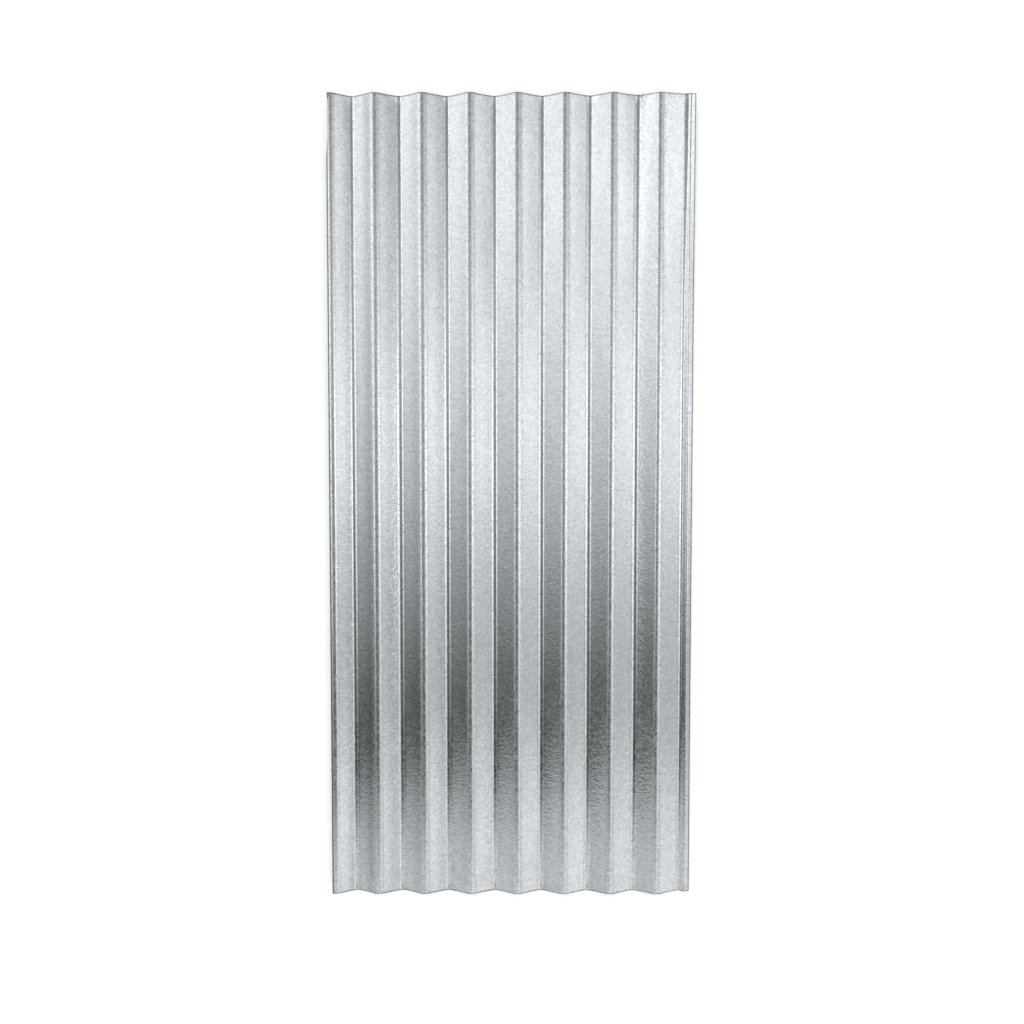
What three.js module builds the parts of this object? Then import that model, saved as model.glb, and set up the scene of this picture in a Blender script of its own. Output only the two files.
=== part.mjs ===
// Corrugated galvanised steel sheet, one length of roll-formed stock.
//
// A flat strip is cold-rolled into parallel waves. Each wave is two bends
// joined by straight flanks, so the section is arcs and tangents rather than a
// sine curve. One long edge is slit along the top of a crest. The other stops
// just past the last valley, where a tight knee turns it down into a side lip.
// The shear that cuts the length flares the valleys at both ends, and the
// corner between the lip and the back cut has sprung up.
//
// Millimetres, +Z up. X runs across the waves, Y along them. The sheet lies
// level on the undersides of its valleys at z = 0, centred on the Z axis.

import * as THREE from 'three';

// Section
const PITCH = 76; // crest to crest
const DEPTH = 18; // overall, from the top of a crest to the underside of a valley
const GAUGE = 0.5; // steel with its zinc coat
const CREST_RADIUS = 17; // middle of the metal
const VALLEY_RADIUS = 13; // middle of the metal, tighter than the crest
const BEND_FACETS = 7; // odd, so that each bend has a level facet at its middle

// Stock size
const VALLEYS = 8;
const LENGTH = 1294;

// Side lip
const KNEE_START = 8.2; // from the last valley's middle
const KNEE_RADIUS = 2.4; // middle of the metal
const KNEE_FACETS = 3;
const LIP_EDGE = 17.4; // from the last valley's middle
const LIP_FALL = THREE.MathUtils.degToRad(16); // how steeply it falls from the knee

// Sheared ends
const FLARE_REACH = 16; // how far in from a cut the valleys are flared
const FLARE_LIFT = 1.8; // of a valley at the cut
const FLARE_STEPS = 4; // rows of facets over that reach

// Sprung corner
const CORNER_REACH = 380; // how far along the sheet it runs from the back cut
const CORNER_LIFT = 9; // of the last valley at the cut, halved in each wave inwards
const CORNER_STEPS = 5; // rows of facets over that reach

const galvanisedSteel = new THREE.MeshStandardMaterial({
  name: 'galvanised_steel',
  color: 0xb7bcbe,
  roughness: 0.38,
  metalness: 0.9,
});

// A crest and a valley bend share one flank that is tangent to both, which
// fixes how steep the flank is:
//   rise = R (1 - cos a) + flank sin a
//   half = R sin a + flank cos a,  with R the sum of the two radii
function flankAngle(rise, half, radii) {
  return Math.atan2(half, radii - rise) - Math.acos(radii / Math.hypot(half, radii - rise));
}

const slope = flankAngle(DEPTH - GAUGE, PITCH / 2, CREST_RADIUS + VALLEY_RADIUS);
const facetAngle = (2 * slope) / BEND_FACETS;
const crestHalfWidth = CREST_RADIUS * Math.sin(slope);
const lastValleyX = (VALLEYS - 0.5) * PITCH;

// Points round a bend on the middle of the metal, each with the sheet's lean
// there. side is +1 where the bend is convex upwards and -1 where it is hollow.
function bendPoints(centreX, centreZ, radius, side, from, to, facets) {
  return Array.from({ length: facets + 1 }, (_, i) => {
    const lean = from + ((to - from) * i) / facets;
    return {
      x: centreX + side * radius * Math.sin(lean),
      z: centreZ + side * radius * Math.cos(lean),
      lean,
    };
  });
}

// The level facet's outer face lies exactly at z = 0 or z = DEPTH.
const bendReach = (radius) => (radius + GAUGE / 2) * Math.cos(facetAngle / 2);

function crestPoints(centreX, from = -slope) {
  const facets = Math.round((slope - from) / facetAngle);
  const centreZ = DEPTH - bendReach(CREST_RADIUS);
  return bendPoints(centreX, centreZ, CREST_RADIUS, 1, from, slope, facets);
}

function valleyPoints(centreX) {
  const centreZ = bendReach(VALLEY_RADIUS);
  return bendPoints(centreX, centreZ, VALLEY_RADIUS, -1, slope, -slope, BEND_FACETS);
}

// The lip: on up the last flank, over a knee and down to the slit edge.
function lipPoints(foot) {
  const start = lastValleyX + KNEE_START;
  const startZ = foot.z + (start - foot.x) * Math.tan(slope);
  const centreX = start + KNEE_RADIUS * Math.sin(slope);
  const centreZ = startZ - KNEE_RADIUS * Math.cos(slope);
  const knee = bendPoints(centreX, centreZ, KNEE_RADIUS, 1, -slope, LIP_FALL, KNEE_FACETS);
  const end = knee[KNEE_FACETS];
  const edge = lastValleyX + LIP_EDGE;
  return [...knee, { x: edge, z: end.z - (edge - end.x) * Math.tan(LIP_FALL), lean: LIP_FALL }];
}

// The middle of the metal across the whole sheet, from the level facet of the
// first crest to the edge of the side lip.
function sheetLine() {
  const line = [];
  for (let wave = 0; wave < VALLEYS; wave += 1) {
    line.push(...crestPoints(wave * PITCH, wave === 0 ? -facetAngle / 2 : -slope));
    line.push(...valleyPoints((wave + 0.5) * PITCH));
  }
  return [...line, ...lipPoints(line[line.length - 1])];
}

// Both faces of the metal, half a gauge either side of its middle, closed
// through the two long edges.
function sectionShape(line) {
  const face = (side) => line.map(({ x, z, lean }) => new THREE.Vector2(
    x + side * (GAUGE / 2) * Math.sin(lean),
    z + side * (GAUGE / 2) * Math.cos(lean),
  ));
  return new THREE.Shape([...face(-1), ...face(1).reverse()]);
}

// Where each row of the extrusion lies, measured from the back cut: close
// together over the flared ends, wider over the sprung corner, then one long
// stretch.
function rowDistances() {
  const corner = CORNER_REACH - FLARE_REACH;
  const distances = [];
  for (let i = 0; i < FLARE_STEPS; i += 1) distances.push((i / FLARE_STEPS) * FLARE_REACH);
  for (let i = 0; i <= CORNER_STEPS; i += 1) {
    distances.push(FLARE_REACH + (i / CORNER_STEPS) * corner);
  }
  for (let i = FLARE_STEPS; i >= 0; i -= 1) {
    distances.push(LENGTH - (i / FLARE_STEPS) * FLARE_REACH);
  }
  return distances;
}

// How far the metal stands above its rolled height. Crests stay where they
// are, valleys rise most, and the lip rides up with the last valley.
function lift(x, fromBack) {
  const reach = Math.min(x, lastValleyX);
  const offCrest = Math.abs(reach - Math.round(reach / PITCH) * PITCH);
  const lowness = THREE.MathUtils.smoothstep(offCrest, crestHalfWidth, PITCH / 2);
  const fromCut = Math.min(fromBack, LENGTH - fromBack);
  const flare = Math.max(0, 1 - fromCut / FLARE_REACH) ** 2 * lowness ** 2;
  const spring = 1 - THREE.MathUtils.smoothstep(fromBack, 0, CORNER_REACH);
  const wavesIn = (lastValleyX - reach) / PITCH;
  return FLARE_LIFT * flare + CORNER_LIFT * spring * lowness * 0.5 ** wavesIn;
}

function sheetGeometry() {
  const distances = rowDistances();
  const rows = distances.length - 1;
  const geometry = new THREE.ExtrudeGeometry(sectionShape(sheetLine()), {
    depth: rows,
    steps: rows,
    bevelEnabled: false,
  });
  const position = geometry.attributes.position;
  for (let i = 0; i < position.count; i += 1) {
    // The section's height becomes Z and the extrusion runs forwards, along -Y.
    const x = position.getX(i);
    const fromBack = distances[Math.round(position.getZ(i))];
    position.setXYZ(i, x, -fromBack, position.getY(i) + lift(x, fromBack));
  }
  geometry.computeBoundingBox();
  const centre = geometry.boundingBox.getCenter(new THREE.Vector3());
  geometry.translate(-centre.x, -centre.y, 0);
  geometry.computeVertexNormals();
  return geometry;
}

const corrugatedSheet = new THREE.Mesh(sheetGeometry(), galvanisedSteel);
corrugatedSheet.name = 'corrugated_sheet';

const part = new THREE.Group();
part.name = 'corrugated_metal_sheet';
part.add(corrugatedSheet);

export default part;
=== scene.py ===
import math

import bpy
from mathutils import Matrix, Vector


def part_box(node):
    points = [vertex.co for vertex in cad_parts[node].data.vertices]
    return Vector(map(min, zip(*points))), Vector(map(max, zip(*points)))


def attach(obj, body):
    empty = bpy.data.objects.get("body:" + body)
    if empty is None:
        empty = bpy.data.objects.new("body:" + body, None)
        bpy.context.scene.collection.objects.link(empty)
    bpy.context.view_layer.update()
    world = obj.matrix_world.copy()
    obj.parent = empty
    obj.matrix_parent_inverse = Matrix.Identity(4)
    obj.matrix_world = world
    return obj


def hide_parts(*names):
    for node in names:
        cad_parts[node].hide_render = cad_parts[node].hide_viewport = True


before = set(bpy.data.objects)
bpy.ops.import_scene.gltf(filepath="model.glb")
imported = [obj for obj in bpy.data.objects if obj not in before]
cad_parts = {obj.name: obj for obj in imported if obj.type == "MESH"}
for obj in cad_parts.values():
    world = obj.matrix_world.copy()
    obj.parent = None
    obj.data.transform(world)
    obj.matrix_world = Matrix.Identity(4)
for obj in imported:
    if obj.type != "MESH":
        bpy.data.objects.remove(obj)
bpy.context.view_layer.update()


# ---------------------------------------------------------------- the sheet
# One length of hot-dip galvanised steel strip, cold-rolled into waves: slit
# along a crest on one side, turned down into a narrow lip on the other. The
# shear flared the valleys at both ends, and the back corner has sprung up.

# Section
PITCH = 0.076  # crest to crest
DEPTH = 0.018  # overall
GAUGE = 0.0005
CREST_RADIUS = 0.017  # middle of the metal, as are the other radii
SHOULDER_RADIUS = 0.008  # tighter turn of a crest on the slit's side
SHOULDER_LEAN = math.radians(12)  # where round the crest that turn begins
VALLEY_RADIUS = 0.0145
CREST_DRIFT = 0.0028  # how far the crests next to the slit stand towards it
BELLY = 0.00065  # of a flank, from bend to bend
SLACK = 0.0004  # how much that belly varies
SLACK_ACROSS, SLACK_ALONG = 6.0, 5.0  # patches of it to a metre

# Stock size
LENGTH = 1.294
LAST_VALLEY = 7.5 * PITCH  # from the first crest

# Slit edge
CREST_EDGE = 0.0045  # how far past the first crest's top the slit runs
SLIT_SHIFT = 0.00326  # how much further in than its pitch that crest stands
NICK = 0.0022  # the deeper bite near the back corner
NICK_FLAT = 0.0022  # how much nearer the crest's top its metal lies
NICK_MIDDLE = 0.045  # from the back cut
NICK_REACH = 0.052  # to either side of its middle
NICK_SQUARENESS = 4.0

# Side lip, measured from the last valley's middle
RISE_RADIUS = 0.007
RISE_SLOPE = math.radians(36)
KNEE_START = 0.0079
KNEE_RADIUS = 0.0040
LIP_EDGE = 0.0174
LIP_FALL = math.radians(16)

# Sheared ends
FLARE_REACH = 0.016
FLARE_LIFT = 0.0018
FRONT_SHARE = 0.3  # of that lift, at the front cut
ROLL_REACH = 0.0020  # how far in the shear dragged the metal down
ROLL_DROP = 0.0004

# Sprung corner
CORNER_REACH = 0.380
CORNER_LIFT = 0.009
WAVE_SHARE = 0.43  # what each wave inwards takes of the lift outside it
RISE_EASED = 0.18  # how much flatter the lip's rise is at the full lift
RISE_OPENED = 1.4  # how much wider its bend is there

# Mesh
COLUMNS, ROWS = 600, 70
ROW_CROWDING = 2.2  # how strongly rows draw together towards the cuts
WELD = 0.00002

_, cad_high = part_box("corrugated_sheet")
lip_lean = GAUGE / 2 * math.sin(LIP_FALL)
first_crest_x = cad_high.x - lip_lean - LIP_EDGE - LAST_VALLEY


class NodeBench:
    """Adds nodes to one tree and joins them, so that a formula reads as one line."""

    def __init__(self, tree):
        self.tree = tree

    def node(self, kind, settings=None, **inputs):
        made = self.tree.nodes.new(kind)
        for name, value in (settings or {}).items():
            setattr(made, name, value)
        for name, value in inputs.items():
            self.feed(made.inputs[name.replace("_", " ")], value)
        return made

    def feed(self, socket, value):
        if isinstance(value, bpy.types.NodeSocket):
            self.tree.links.new(value, socket)
        else:
            socket.default_value = value

    def math(self, operation, *values):
        made = self.tree.nodes.new("ShaderNodeMath")
        made.operation = operation
        for socket, value in zip(made.inputs, values):
            self.feed(socket, value)
        return made.outputs[0]

    def ease(self, value, start, stop):
        """0 at start, 1 at stop, eased between."""
        ramp = self.node("ShaderNodeMapRange", {"interpolation_type": "SMOOTHSTEP"},
                         Value=value, From_Min=start, From_Max=stop, To_Min=0.0, To_Max=1.0)
        return ramp.outputs["Result"]


def sheet_tree(settings):
    """The rolled sheet, with one input for each of the settings."""
    kinds = {float: "NodeSocketFloat", int: "NodeSocketInt", bpy.types.Material: "NodeSocketMaterial"}
    tree = bpy.data.node_groups.new("rolled_sheet", "GeometryNodeTree")
    face = tree.interface
    for name, value in settings.items():
        face.new_socket(name, in_out="INPUT", socket_type=kinds[type(value)])
    face.new_socket("Sheet", in_out="OUTPUT", socket_type="NodeSocketGeometry")
    bench = NodeBench(tree)
    m, ease = bench.math, bench.ease
    size = bench.node("NodeGroupInput").outputs

    # A unit grid, its rows drawn together towards both cuts.
    grid = bench.node("GeometryNodeMeshGrid", Size_X=1.0, Size_Y=2.0,
                      Vertices_X=size["Columns"], Vertices_Y=size["Rows"])
    place = bench.node("GeometryNodeInputPosition")
    unit = bench.node("ShaderNodeSeparateXYZ", Vector=place.outputs[0])
    width = m("ADD", m("ADD", size["Crest Edge"], size["Last Valley"]), size["Lip Edge"])
    from_crest = m("SUBTRACT", m("MULTIPLY", m("ADD", unit.outputs["X"], 0.5), width), size["Crest Edge"])
    half_length = m("DIVIDE", size["Length"], 2.0)
    from_cut = m("MULTIPLY", half_length,
                 m("POWER", m("SUBTRACT", 1.0, m("ABSOLUTE", unit.outputs["Y"])), ROW_CROWDING))
    along = m("MULTIPLY", m("SIGN", unit.outputs["Y"]), m("SUBTRACT", half_length, from_cut))

    # Close to the back corner the slitter bit a little further into the crest
    # and left its edge lying flatter.
    from_back = m("SUBTRACT", half_length, along)
    off_nick = m("DIVIDE", m("SUBTRACT", from_back, size["Nick Middle"]), size["Nick Reach"])
    bite = m("SUBTRACT", 1.0, m("POWER", m("ABSOLUTE", off_nick), NICK_SQUARENESS))
    bite = m("MAXIMUM", bite, 0.0)
    past_crest = m("MULTIPLY", m("MINIMUM", m("DIVIDE", from_crest, size["Crest Edge"]), 0.0), -1.0)
    bitten = m("MULTIPLY", bite, past_crest)
    from_crest = m("ADD", from_crest, m("MULTIPLY", m("ADD", size["Nick"], size["Nick Flat"]), bitten))

    # Distance to the nearest crest and, from that, to the nearest valley.
    half = m("DIVIDE", size["Pitch"], 2.0)
    signed = m("SUBTRACT", m("FLOORED_MODULO", m("ADD", from_crest, half), size["Pitch"]), half)
    off_crest = m("ABSOLUTE", signed)
    off_valley = m("SUBTRACT", half, off_crest)
    half_gauge = m("DIVIDE", size["Gauge"], 2.0)
    crest_centre = m("SUBTRACT", m("SUBTRACT", size["Depth"], half_gauge), size["Crest Radius"])
    valley_centre = m("ADD", half_gauge, size["Valley Radius"])

    def bend(radius, off):
        reach = m("SUBTRACT", m("MULTIPLY", radius, radius), m("MULTIPLY", off, off))
        return m("SQRT", m("MAXIMUM", reach, 0.0))

    def choose(test, yes, no):
        picked = bench.node("GeometryNodeSwitch", {"input_type": "FLOAT"})
        bench.feed(picked.inputs["Switch"], test)
        bench.feed(picked.inputs["True"], yes)
        bench.feed(picked.inputs["False"], no)
        return picked.outputs[0]

    # Both cuts flare the valleys, and the back corner springs up, less than half as far in
    # each wave inwards.
    near = m("MAXIMUM", m("SUBTRACT", 1.0, m("DIVIDE", from_cut, size["Flare Reach"])), 0.0)
    flare = m("MULTIPLY", m("MULTIPLY", near, near), size["Flare Lift"])
    flare = choose(m("LESS_THAN", along, 0.0), m("MULTIPLY", flare, size["Front Share"]), flare)
    sprung = m("SUBTRACT", 1.0, ease(from_back, 0.0, size["Corner Reach"]))
    spring = m("MULTIPLY", size["Corner Lift"], sprung)
    past = m("SUBTRACT", from_crest, size["Last Valley"])
    waves_in = m("MAXIMUM", m("ROUND", m("DIVIDE", m("MULTIPLY", past, -1.0), size["Pitch"])), 0.0)
    lift = m("ADD", flare, m("MULTIPLY", spring, m("POWER", size["Wave Share"], waves_in)))

    # On the slit's side a crest turns over a tighter shoulder.
    shoulder = choose(m("LESS_THAN", signed, 0.0), size["Shoulder Radius"], size["Crest Radius"])
    inward = m("SUBTRACT", size["Crest Radius"], shoulder)
    inset = m("MULTIPLY", inward, m("SINE", size["Shoulder Lean"]))
    shoulder_centre = m("ADD", crest_centre,
                        m("MULTIPLY", inward, m("COSINE", size["Shoulder Lean"])))
    sink = m("SUBTRACT", m("ADD", crest_centre, inward), shoulder_centre)

    # The slope of the flank that is tangent to both its bends, once its valley has lifted.
    radii = m("ADD", shoulder, size["Valley Radius"])
    rise = m("SUBTRACT", m("SUBTRACT", m("SUBTRACT", size["Depth"], size["Gauge"]), lift), sink)
    gap = m("SUBTRACT", radii, rise)
    run = m("SUBTRACT", half, inset)
    reach = m("SQRT", m("ADD", m("MULTIPLY", run, run), m("MULTIPLY", gap, gap)))
    slope = m("SUBTRACT", m("ARCTAN2", run, gap), m("ARCCOSINE", m("DIVIDE", radii, reach)))
    sine, cosine = m("SINE", slope), m("COSINE", slope)
    crest_half = m("ADD", inset, m("MULTIPLY", shoulder, sine))
    on_top = m("LESS_THAN", off_crest,
               m("MULTIPLY", size["Crest Radius"], m("SINE", size["Shoulder Lean"])))
    top_z = m("ADD", crest_centre, bend(size["Crest Radius"], off_crest))
    shoulder_z = m("ADD", shoulder_centre, bend(shoulder, m("SUBTRACT", off_crest, inset)))
    crest_z = choose(on_top, top_z, shoulder_z)
    valley_z = m("ADD", lift, m("SUBTRACT", valley_centre, bend(size["Valley Radius"], off_valley)))
    valley_half = m("MULTIPLY", size["Valley Radius"], sine)
    steep = m("TANGENT", slope)
    flank_z = m("SUBTRACT", m("ADD", shoulder_centre, m("MULTIPLY", shoulder, cosine)),
                m("MULTIPLY", m("SUBTRACT", off_crest, crest_half), steep))
    on_crest = m("LESS_THAN", off_crest, crest_half)
    on_valley = m("LESS_THAN", off_valley, valley_half)
    rolled_z = choose(on_crest, crest_z, choose(on_valley, valley_z, flank_z))
    crest_turn = m("MAXIMUM", m("DIVIDE", off_crest, size["Crest Radius"]),
                   m("DIVIDE", m("SUBTRACT", off_crest, inset), shoulder))
    crest_lean = m("ARCSINE", m("MINIMUM", crest_turn, sine))
    valley_lean = m("ARCSINE", m("MINIMUM", m("DIVIDE", off_valley, size["Valley Radius"]), sine))
    rolled_lean = m("MULTIPLY", m("MINIMUM", crest_lean, valley_lean), m("SIGN", signed))

    # Past the last valley the metal rises steeply, turns over a tight knee and falls to the
    # lip's edge.
    opened = m("DIVIDE", spring, size["Corner Lift"])
    rise_slope = m("MULTIPLY", size["Rise Slope"], m("SUBTRACT", 1.0, m("MULTIPLY", opened, RISE_EASED)))
    rise_radius = m("MULTIPLY", size["Rise Radius"], m("ADD", 1.0, m("MULTIPLY", opened, RISE_OPENED)))
    rise_sine, rise_cosine = m("SINE", rise_slope), m("COSINE", rise_slope)
    rise_steep = m("TANGENT", rise_slope)
    rise_half = m("MULTIPLY", rise_radius, rise_sine)
    rise_centre = m("ADD", half_gauge, rise_radius)
    rise_z = m("SUBTRACT", rise_centre, bend(rise_radius, past))
    foot_z = m("SUBTRACT", rise_centre, m("MULTIPLY", rise_radius, rise_cosine))
    knee_start = m("MAXIMUM", size["Knee Start"], rise_half)
    start_z = m("ADD", foot_z, m("MULTIPLY", m("SUBTRACT", knee_start, rise_half), rise_steep))
    knee_x = m("ADD", knee_start, m("MULTIPLY", size["Knee Radius"], rise_sine))
    knee_z = m("SUBTRACT", start_z, m("MULTIPLY", size["Knee Radius"], rise_cosine))
    fall_sine = m("SINE", size["Lip Fall"])
    turn = m("DIVIDE", m("SUBTRACT", past, knee_x), size["Knee Radius"])
    knee_lean = m("ARCSINE", m("MINIMUM", m("MAXIMUM", turn, m("MULTIPLY", rise_sine, -1.0)), fall_sine))
    knee_top = m("ADD", knee_z, m("MULTIPLY", size["Knee Radius"], m("COSINE", knee_lean)))
    knee_end = m("ADD", knee_x, m("MULTIPLY", size["Knee Radius"], fall_sine))
    before_knee = m("MAXIMUM", m("SUBTRACT", knee_start, past), 0.0)
    after_knee = m("MAXIMUM", m("SUBTRACT", past, knee_end), 0.0)
    turned_z = m("SUBTRACT", m("SUBTRACT", knee_top, m("MULTIPLY", before_knee, rise_steep)),
                 m("MULTIPLY", after_knee, m("TANGENT", size["Lip Fall"])))
    lip_z = choose(m("LESS_THAN", past, rise_half), rise_z, turned_z)
    rise_lean = m("MULTIPLY", m("ARCSINE", m("MINIMUM", m("DIVIDE", past, rise_radius), rise_sine)), -1.0)
    on_lip = m("GREATER_THAN", past, 0.0)
    lean = choose(on_lip, m("MAXIMUM", knee_lean, rise_lean), rolled_lean)

    # A flank is never quite flat: it bellies from bend to bend.
    where = bench.node("ShaderNodeCombineXYZ", X=m("MULTIPLY", from_crest, SLACK_ACROSS),
                       Y=m("MULTIPLY", along, SLACK_ALONG))
    slack = bench.node("ShaderNodeTexNoise", {"noise_dimensions": "4D"}, Vector=where.outputs[0],
                       W=size["Seed"], Scale=1.0, Detail=2.0)
    straight = m("SUBTRACT", m("SUBTRACT", half, crest_half), valley_half)
    into_flank = m("DIVIDE", m("SUBTRACT", off_crest, crest_half), straight)
    into_flank = m("MINIMUM", m("MAXIMUM", into_flank, 0.0), 1.0)
    bulge = m("SINE", m("MULTIPLY", into_flank, math.pi))
    bow = m("MULTIPLY", m("SUBTRACT", slack.outputs["Fac"], 0.5), size["Slack"])
    bow = m("SUBTRACT", bow, size["Belly"])
    rolled_bow = m("ADD", rolled_z, m("MULTIPLY", bulge, bow))
    # The shear drags the last of the metal down as it cuts.
    rolled_over = m("MAXIMUM", m("SUBTRACT", 1.0, m("DIVIDE", from_cut, size["Roll Reach"])), 0.0)
    drop = m("MULTIPLY", size["Roll Drop"], m("MULTIPLY", rolled_over, rolled_over))
    final_z = m("SUBTRACT", choose(on_lip, m("ADD", lip_z, lift), rolled_bow), drop)

    half_in = m("MULTIPLY", m("SINE", lean), half_gauge)
    half_up = m("MULTIPLY", m("COSINE", lean), half_gauge)
    # The first crest stands a little further in than its pitch, away from the slit.
    shift = m("MULTIPLY", size["Slit Shift"], m("SUBTRACT", 1.0, ease(from_crest, 0.0, half)))
    # Crests also stand towards the slit, most in the second wave and none past the last valley.
    crestness = m("SUBTRACT", 1.0, ease(off_crest, 0.0, half))
    across = m("MAXIMUM", m("SUBTRACT", 1.0, m("DIVIDE", from_crest, size["Last Valley"])), 0.0)
    drift = m("MULTIPLY", m("MULTIPLY", crestness, across), ease(from_crest, half, size["Pitch"]))
    shift = m("SUBTRACT", shift, m("MULTIPLY", size["Crest Drift"], drift))
    shift = m("SUBTRACT", shift, m("MULTIPLY", size["Nick Flat"], bitten))
    middle_x = m("ADD", m("ADD", from_crest, shift), size["First Crest X"])
    under = bench.node("ShaderNodeCombineXYZ", X=m("SUBTRACT", middle_x, half_in), Y=along,
                       Z=m("SUBTRACT", final_z, half_up))
    through = bench.node("ShaderNodeCombineXYZ", X=m("MULTIPLY", half_in, 2.0),
                         Z=m("MULTIPLY", half_up, 2.0))
    kept = bench.node("GeometryNodeCaptureAttribute")
    kept.capture_items.new("VECTOR", "Through")
    bench.feed(kept.inputs["Geometry"], grid.outputs["Mesh"])
    bench.feed(kept.inputs["Through"], through.outputs[0])
    under_face = bench.node("GeometryNodeSetPosition", Geometry=kept.outputs["Geometry"],
                            Position=under.outputs[0])

    # The metal's thickness, pushed up from the underside along its own normal.
    thick = bench.node("GeometryNodeExtrudeMesh", {"mode": "FACES"}, Mesh=under_face.outputs[0],
                       Offset=kept.outputs["Through"], Offset_Scale=1.0, Individual=False)
    turned = bench.node("GeometryNodeFlipFaces", Mesh=under_face.outputs[0])
    zinc_under = bench.node("GeometryNodeSetMaterial", Geometry=turned.outputs[0], Material=size["Zinc"])
    zinc_top = bench.node("GeometryNodeSetMaterial", Geometry=thick.outputs["Mesh"], Material=size["Zinc"])
    edged = bench.node("GeometryNodeSetMaterial", Geometry=zinc_top.outputs[0],
                       Selection=thick.outputs["Side"], Material=size["Cut Edge"])
    both = bench.node("GeometryNodeJoinGeometry")
    tree.links.new(zinc_under.outputs[0], both.inputs[0])
    tree.links.new(edged.outputs[0], both.inputs[0])
    welded = bench.node("GeometryNodeMergeByDistance", Geometry=both.outputs[0], Distance=WELD)
    smooth = bench.node("GeometryNodeSetShadeSmooth", Geometry=welded.outputs[0], Shade_Smooth=True)
    real = bench.node("GeometryNodeRealizeInstances", Geometry=smooth.outputs[0])
    out = bench.node("NodeGroupOutput")
    tree.links.new(real.outputs[0], out.inputs[0])
    return tree


def zinc_material():
    """Hot-dip zinc: small crystals of uneven shine under a thin bloom, the coat scuffed
    along the crests and pricked along the bends, with painted shade darkening it just back from the cuts and
    along the slit edges."""
    made = bpy.data.materials.new("galvanised_steel")
    made.use_nodes = True
    tree = made.node_tree
    shader = tree.nodes["Principled BSDF"]
    bench = NodeBench(tree)
    m, ease = bench.math, bench.ease
    place = bench.node("ShaderNodeTexCoord").outputs["Object"]
    split = bench.node("ShaderNodeSeparateXYZ", Vector=place)
    over_x, along_y = split.outputs["X"], split.outputs["Y"]

    # Bands are the two distances, in metres, between which a mark fades in.
    crest_band, valley_band = (0.0100, 0.0070), (0.0080, 0.0055)
    # The cut, slit and corner bands, their wanders and widenings place painted edge shade.
    cut_shade_band, slit_shade_band, corner_shade_band = (0.0028, 0.0006), (0.0022, 0.0012), (0.012, 0.003)
    cut_shade_wander, slit_shade_wander = 0.002, 0.0006
    wider_at_crest, wider_at_corner = 0.0007, 0.0036
    # Spots are counted to a metre, and fade in between two shares of the gap between them.
    crystals, pricks, pinholes = 260.0, 230.0, 38.0
    prick_band, pinhole_band = (0.34, 0.22), (0.045, 0.025)
    # How strongly each mark shows; the cut and slit shares set how dark the painted edge shade is.
    prick_share, pinhole_share, cut_shade_share, slit_shade_share = 0.35, 0.6, 0.8, 0.9
    dull_zinc, bright_zinc = (0.642, 0.665, 0.680, 1.0), (0.831, 0.860, 0.880, 1.0)
    greenish, lilac = (0.975, 1.0, 0.990, 1.0), (1.012, 0.996, 1.004, 1.0)
    # Dark colour shared by the real pricks and pinholes and by the painted edge shade.
    stain_and_edge_shade = (0.22, 0.23, 0.23, 1.0)
    polish, crystal_matt, crest_matt, marks_and_shade_matt = 0.08, 0.14, 0.10, 0.2
    pressed_flat, grain_relief, ripple_relief = 0.7, 0.7, 0.8

    def clouds(scale, detail, stretch=(1.0, 1.0, 1.0)):
        """Soft noise about zero, in patches of one metre over the scale."""
        spread = bench.node("ShaderNodeMapping", Vector=place, Scale=tuple(scale * s for s in stretch))
        noise = bench.node("ShaderNodeTexNoise", Vector=spread.outputs[0], Scale=1.0, Detail=detail)
        return m("SUBTRACT", noise.outputs["Fac"], 0.5)

    # How far this point is from the nearest crest line, and from the nearest valley.
    half = PITCH / 2
    signed = m("SUBTRACT", m("FLOORED_MODULO", m("ADD", over_x, half - first_crest_x), PITCH), half)
    off_crest = m("ABSOLUTE", signed)
    on_crest = ease(off_crest, *crest_band)
    on_valley = ease(m("SUBTRACT", half, off_crest), *valley_band)
    on_bend = m("MAXIMUM", on_crest, on_valley)

    # Crystals a few millimetres across, each with its own tone and shine.
    crystal = bench.node("ShaderNodeTexVoronoi", {"feature": "F1"}, Vector=place, Scale=crystals)
    facet = bench.node("ShaderNodeSeparateColor", Color=crystal.outputs["Color"])
    hammered = clouds(170.0, 3.0)
    grain = clouds(520.0, 2.0)
    bloom = clouds(30.0, 3.0, stretch=(1.0, 0.35, 1.0))
    drawn = clouds(420.0, 1.0, stretch=(1.0, 0.05, 1.0))
    ripple = clouds(260.0, 2.0, stretch=(0.35, 1.0, 1.0))

    tone = m("ADD", m("MULTIPLY", m("SUBTRACT", facet.outputs["Red"], 0.5), 0.6), 0.5)
    for layer, amount in ((hammered, 0.9), (grain, 1.4), (bloom, 0.6), (drawn, 0.2)):
        tone = m("ADD", tone, m("MULTIPLY", layer, amount))
    zinc = bench.node("ShaderNodeMix", {"data_type": "RGBA"})
    bench.feed(zinc.inputs["Factor"], tone)
    zinc.inputs["A"].default_value = dull_zinc
    zinc.inputs["B"].default_value = bright_zinc

    # The coat drifts from greenish to lilac over a hand's breadth.
    drift = bench.node("ShaderNodeMix", {"data_type": "RGBA"})
    hue = clouds(9.0, 1.0, stretch=(1.6, 0.6, 1.0))
    bench.feed(drift.inputs["Factor"], m("ADD", 0.5, m("MULTIPLY", hue, 2.0)))
    drift.inputs["A"].default_value = greenish
    drift.inputs["B"].default_value = lilac
    tinted = bench.node("ShaderNodeMix", {"data_type": "RGBA", "blend_type": "MULTIPLY"})
    tinted.inputs["Factor"].default_value = 1.0
    tree.links.new(zinc.outputs["Result"], tinted.inputs["A"])
    tree.links.new(drift.outputs["Result"], tinted.inputs["B"])

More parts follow.
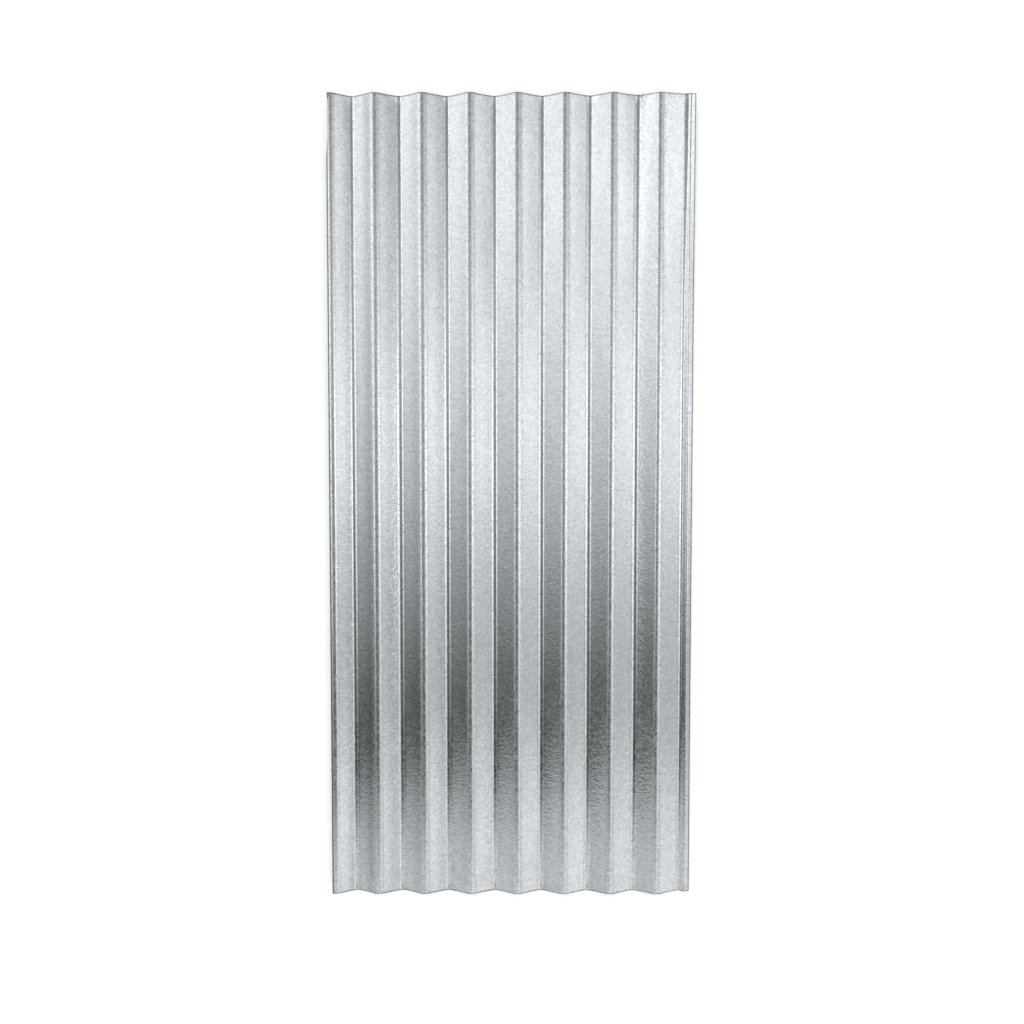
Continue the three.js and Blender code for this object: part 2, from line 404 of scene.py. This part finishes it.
    # Pricks along the bends, where the coat was stretched over the rolls.
    prick = bench.node("ShaderNodeTexVoronoi", {"feature": "F1"}, Vector=place, Scale=pricks)
    dots = m("MULTIPLY", ease(prick.outputs["Distance"], *prick_band), on_bend)
    # Pinholes in the coat, a few to a hand's breadth.
    hole = bench.node("ShaderNodeTexVoronoi", {"feature": "F1"}, Vector=place, Scale=pinholes)
    pit = ease(hole.outputs["Distance"], *pinhole_band)
    # Painted edge shade: the zinc darkened at the sheared ends and, narrower, along the two slit edges.
    from_cut = m("SUBTRACT", LENGTH / 2, m("ABSOLUTE", along_y))
    cut_edge_shade = ease(m("ADD", from_cut, m("MULTIPLY", grain, cut_shade_wander)), *cut_shade_band)
    from_slit = m("SUBTRACT", cad_high.x, m("ABSOLUTE", over_x))
    crest_side = m("LESS_THAN", over_x, 0.0)
    at_corner = m("MULTIPLY", crest_side, ease(m("SUBTRACT", LENGTH / 2, along_y), *corner_shade_band))
    wider = m("ADD", m("MULTIPLY", crest_side, wider_at_crest), m("MULTIPLY", at_corner, wider_at_corner))
    off_slit = m("SUBTRACT", m("ADD", from_slit, m("MULTIPLY", grain, slit_shade_wander)), wider)
    slit_edge_shade = ease(off_slit, *slit_shade_band)
    painted_edge_shade = m("MAXIMUM", m("MULTIPLY", cut_edge_shade, cut_shade_share), m("MULTIPLY", slit_edge_shade, slit_shade_share))
    spots = m("ADD", m("MULTIPLY", dots, prick_share), m("MULTIPLY", pit, pinhole_share))
    # Real pricks and pinholes plus painted edge shade, all mixed towards the dark colour and made rougher.
    marks_and_edge_shade = m("MINIMUM", m("ADD", spots, painted_edge_shade), 1.0)
    marked_and_shaded = bench.node("ShaderNodeMix", {"data_type": "RGBA"})
    bench.feed(marked_and_shaded.inputs["Factor"], marks_and_edge_shade)
    tree.links.new(tinted.outputs["Result"], marked_and_shaded.inputs["A"])
    marked_and_shaded.inputs["B"].default_value = stain_and_edge_shade
    tree.links.new(marked_and_shaded.outputs["Result"], shader.inputs["Base Color"])

    rough = m("ADD", polish, m("MULTIPLY", facet.outputs["Green"], crystal_matt))
    rough = m("ADD", rough, m("MULTIPLY", on_crest, crest_matt))
    rough = m("ADD", rough, m("MULTIPLY", marks_and_edge_shade, marks_and_shade_matt))
    tree.links.new(rough, shader.inputs["Roughness"])
    shader.inputs["Metallic"].default_value = 1.0

    flat = m("SUBTRACT", 1.0, m("MULTIPLY", on_bend, pressed_flat))
    relief = m("ADD", hammered, m("MULTIPLY", grain, grain_relief))
    relief = m("ADD", relief, m("MULTIPLY", ripple, ripple_relief))
    relief = m("MULTIPLY", relief, flat)
    bump = bench.node("ShaderNodeBump", Height=relief, Distance=0.0003, Strength=0.8)
    tree.links.new(bump.outputs[0], shader.inputs["Normal"])
    return made


def cut_edge_material():
    """Bare steel where the shear and the slitter went through."""
    made = bpy.data.materials.new("sheared_steel_edge")
    made.use_nodes = True
    shader = made.node_tree.nodes["Principled BSDF"]
    shader.inputs["Base Color"].default_value = (0.30, 0.30, 0.29, 1.0)
    shader.inputs["Metallic"].default_value = 1.0
    shader.inputs["Roughness"].default_value = 0.45
    return made


def rolled_sheet():
    holder = bpy.data.objects.new("corrugated_sheet_rolled", bpy.data.meshes.new("blank"))
    bpy.context.scene.collection.objects.link(holder)
    rolling = holder.modifiers.new("rolling", "NODES")
    settings = {
        "Pitch": PITCH, "Depth": DEPTH, "Gauge": GAUGE, "Crest Radius": CREST_RADIUS,
        "Shoulder Radius": SHOULDER_RADIUS, "Shoulder Lean": SHOULDER_LEAN,
        "Valley Radius": VALLEY_RADIUS, "Crest Drift": CREST_DRIFT, "Belly": BELLY, "Slack": SLACK,
        "Length": LENGTH, "First Crest X": first_crest_x, "Last Valley": LAST_VALLEY,
        "Crest Edge": CREST_EDGE, "Slit Shift": SLIT_SHIFT, "Nick": NICK, "Nick Flat": NICK_FLAT,
        "Nick Middle": NICK_MIDDLE, "Nick Reach": NICK_REACH,
        "Rise Radius": RISE_RADIUS, "Rise Slope": RISE_SLOPE, "Knee Start": KNEE_START,
        "Knee Radius": KNEE_RADIUS, "Lip Edge": LIP_EDGE, "Lip Fall": LIP_FALL,
        "Flare Reach": FLARE_REACH, "Flare Lift": FLARE_LIFT, "Front Share": FRONT_SHARE,
        "Roll Reach": ROLL_REACH, "Roll Drop": ROLL_DROP,
        "Corner Reach": CORNER_REACH, "Corner Lift": CORNER_LIFT, "Wave Share": WAVE_SHARE,
        "Columns": COLUMNS, "Rows": ROWS, "Seed": 7,
        "Zinc": zinc_material(), "Cut Edge": cut_edge_material(),
    }
    rolling.node_group = sheet_tree(settings)
    for item in rolling.node_group.interface.items_tree:
        if item.item_type == "SOCKET" and item.in_out == "INPUT":
            rolling[item.identifier] = settings[item.name]
    bpy.context.view_layer.update()
    mesh = bpy.data.meshes.new_from_object(holder.evaluated_get(bpy.context.evaluated_depsgraph_get()))
    holder.modifiers.clear()
    holder.data = mesh
    return holder


sheet = rolled_sheet()
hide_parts("corrugated_sheet")
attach(sheet, "root")


# ---------------------------------------------------------------- the studio
# A wide pale floor under an even white sky, and a canopy of light panels and
# grey flags above the sheet that only its reflections see.

def plain_floor():
    size = 60.0
    clearance = 0.0002  # under the sheet, so that the two don't fight for one plane
    mesh = bpy.data.meshes.new("floor")
    mesh.from_pydata([(-size, -size, 0), (size, -size, 0), (size, size, 0), (-size, size, 0)],
                     [], [(0, 1, 2, 3)])
    floor = bpy.data.objects.new("floor", mesh)
    floor.location.z = -clearance
    bpy.context.scene.collection.objects.link(floor)
    paint = bpy.data.materials.new("floor_paint")
    paint.use_nodes = True
    shader = paint.node_tree.nodes["Principled BSDF"]
    shader.inputs["Base Color"].default_value = (0.98, 0.98, 0.98, 1.0)
    shader.inputs["Roughness"].default_value = 0.9
    shader.inputs["Specular IOR Level"].default_value = 0.0
    mesh.materials.append(paint)
    return floor


CANOPY_RADIUS = 1.6
CANOPY_LENGTH = 16.0
FULL_GLOW = 2.0


def only_mirrored(panel):
    """Shown in reflections and nowhere else."""
    panel.visible_camera = False
    panel.visible_diffuse = False
    panel.visible_shadow = False
    panel.visible_transmission = False
    panel.visible_volume_scatter = False


def canopy_panel(name, across, along):
    """A strip of the canopy: its brightness at places along Y, in metres, and the share
    of it that shows at angles from overhead across X, in degrees."""
    mesh = bpy.data.meshes.new(name)
    steps = 12
    points, faces = [], []
    start, stop = math.radians(across[0][0]), math.radians(across[-1][0])
    for i in range(steps + 1):
        turn = start + (stop - start) * i / steps
        for y in (-CANOPY_LENGTH / 2, CANOPY_LENGTH / 2):
            points.append((CANOPY_RADIUS * math.sin(turn), y, CANOPY_RADIUS * math.cos(turn)))
    for i in range(steps):
        faces.append((2 * i, 2 * i + 1, 2 * i + 3, 2 * i + 2))
    mesh.from_pydata(points, [], faces)
    panel = bpy.data.objects.new(name, mesh)
    bpy.context.scene.collection.objects.link(panel)
    glow = bpy.data.materials.new(name)
    glow.use_nodes = True
    glow.cycles.emission_sampling = "NONE"
    tree = glow.node_tree
    tree.nodes.clear()
    bench = NodeBench(tree)
    m = bench.math

    def ramp(value, low, high, stops):
        """Rounded steps through the stops, each a place between low and high and its colour."""
        made = bench.node("ShaderNodeValToRGB", Fac=m("DIVIDE", m("SUBTRACT", value, low), high - low))
        band = made.color_ramp
        band.interpolation = "CARDINAL"
        band.elements.remove(band.elements[1])
        band.elements[0].position = (stops[0][0] - low) / (high - low)
        for spot, _ in stops[1:]:
            band.elements.new((spot - low) / (high - low))
        for stop, (_, colour) in zip(band.elements, stops):
            stop.color = (*colour, 1)
        return made.outputs[0]

    # The dimmer the panel, the cooler its grey.
    least_red, more_red = 0.93, 0.07
    place = bench.node("ShaderNodeTexCoord")
    split = bench.node("ShaderNodeSeparateXYZ", Vector=place.outputs["Object"])
    colours = [(y, (value / FULL_GLOW * min(1.0, least_red + more_red * value),
                    value / FULL_GLOW, value / FULL_GLOW)) for y, value in along]
    glow_along = ramp(split.outputs["Y"], -CANOPY_LENGTH / 2, CANOPY_LENGTH / 2, colours)
    turn = m("ARCTAN2", split.outputs["X"], split.outputs["Z"])
    shares = [(math.radians(angle), (share, share, share)) for angle, share in across]
    lamp = bench.node("ShaderNodeEmission", Color=glow_along,
                      Strength=m("MULTIPLY", ramp(turn, start, stop, shares), FULL_GLOW))
    out = bench.node("ShaderNodeOutputMaterial")
    tree.links.new(lamp.outputs[0], out.inputs[0])
    mesh.materials.append(glow)
    only_mirrored(panel)
    return panel


def corner_card():
    """A small white card low beside the back corner, its front end softened to nothing."""
    left, right = 0.31, 0.62
    front, back = 0.36, 0.85
    height = 0.10
    softened, strength = 0.18, 1.2
    mesh = bpy.data.meshes.new("corner_card")
    mesh.from_pydata([(left, front, height), (right, front, height), (right, back, height),
                      (left, back, height)], [], [(0, 1, 2, 3)])
    card = bpy.data.objects.new("corner_card", mesh)
    bpy.context.scene.collection.objects.link(card)
    glow = bpy.data.materials.new("corner_card")
    glow.use_nodes = True
    glow.cycles.emission_sampling = "NONE"
    tree = glow.node_tree
    tree.nodes.clear()
    bench = NodeBench(tree)
    place = bench.node("ShaderNodeTexCoord")
    split = bench.node("ShaderNodeSeparateXYZ", Vector=place.outputs["Object"])
    share = bench.ease(split.outputs["Y"], front, front + softened)
    clear = bench.node("ShaderNodeBsdfTransparent")
    lamp = bench.node("ShaderNodeEmission", Color=(1.0, 1.0, 1.0, 1.0), Strength=strength)
    mixed = bench.node("ShaderNodeMixShader", Fac=share)
    tree.links.new(clear.outputs[0], mixed.inputs[1])
    tree.links.new(lamp.outputs[0], mixed.inputs[2])
    out = bench.node("ShaderNodeOutputMaterial")
    tree.links.new(mixed.outputs[0], out.inputs[0])
    mesh.materials.append(glow)
    only_mirrored(card)
    return card


panels = [
    canopy_panel("left_wall", [(-86, 0.55), (-76, 0.80), (-69, 1.0), (-56, 1.0)], [
        (-2.4, 0.50), (-1.2, 0.68), (-0.93, 0.49), (-0.77, 0.12), (-0.45, 0.235), (0.0, 0.57), (0.35, 0.83),
        (1.2, 1.12), (2.4, 0.80)]),
    canopy_panel("left_shoulder", [(-56, 1.0), (-37, 0.93)], [
        (-2.4, 0.50), (-1.2, 0.66), (-0.99, 0.47), (-0.87, 0.10), (-0.66, 0.13), (-0.45, 0.235), (0.0, 0.55),
        (0.35, 0.80), (1.2, 1.15), (2.4, 0.80)]),
    canopy_panel("left_strip", [(-37, 0.90), (-35, 1.0), (-22, 1.0)], [
        (-1.2, 0.80), (-1.0, 0.60), (-0.80, 0.17), (-0.3, 0.93), (0.15, 1.45), (1.2, 1.38)]),
    canopy_panel("slit", [(-22, 1.0), (13, 1.0)], [
        (-1.2, 0.80), (-1.03, 0.41), (-0.93, 0.10), (-0.80, 0.07), (-0.6, 0.13), (-0.3, 0.19),
        (0.3, 0.37), (0.6, 0.50), (0.9, 0.42), (1.2, 0.32)]),
    canopy_panel("right_strip", [(13, 0.75), (24, 1.0), (37, 0.9)], [
        (-1.2, 1.0), (-0.6, 0.88), (-0.1, 1.40), (0.2, 1.68), (0.6, 1.22), (1.2, 0.68)]),
    canopy_panel("right_wall", [(37, 0.50), (43, 0.68), (48, 0.98), (64, 1.0)], [
        (-2.4, 0.30), (-1.2, 0.93), (-0.92, 0.85), (-0.62, 0.59), (-0.1, 0.80), (0.25, 1.14), (0.8, 0.86),
        (1.2, 0.90), (2.2, 0.10)]),
    canopy_panel("right_far", [(64, 1.0), (86, 1.0)], [
        (-2.4, 0.30), (-1.2, 0.91), (-0.92, 0.82), (-0.62, 0.54), (-0.1, 0.80), (0.25, 1.06), (0.8, 1.0),
        (1.2, 1.12), (2.2, 0.30)]),
]
card = corner_card()
floor = plain_floor()

world = bpy.data.worlds.new("white_sky")
bpy.context.scene.world = world
world.use_nodes = True
sky = world.node_tree.nodes["Background"]
sky.inputs["Color"].default_value = (1.0, 1.0, 1.0, 1.0)
sky.inputs["Strength"].default_value = 1.2


# ---------------------------------------------------------------- the camera
# It looks down on the sheet from almost straight above, a little below its
# middle, as far away as makes the crests reach out past the valleys.

PICTURE = 1024  # pixels to a side
FOCAL_LENGTH = 995.7  # in pixels, as are the two shifts
SHIFT_ACROSS, SHIFT_UP = -4.8, 42.9
SENSOR = 36.0

camera_data = bpy.data.cameras.new("camera")
camera = bpy.data.objects.new("camera", camera_data)
bpy.context.scene.collection.objects.link(camera)
camera.location = (0.0136, -0.0107, 1.6291)
camera.rotation_euler = (math.radians(-2.735), math.radians(0.162), math.radians(0.023))
camera_data.sensor_width = SENSOR
camera_data.lens = FOCAL_LENGTH * SENSOR / PICTURE
camera_data.shift_x = SHIFT_ACROSS / PICTURE
camera_data.shift_y = SHIFT_UP / PICTURE
bpy.context.scene.camera = camera

bpy.context.scene.view_settings.view_transform = "Standard"
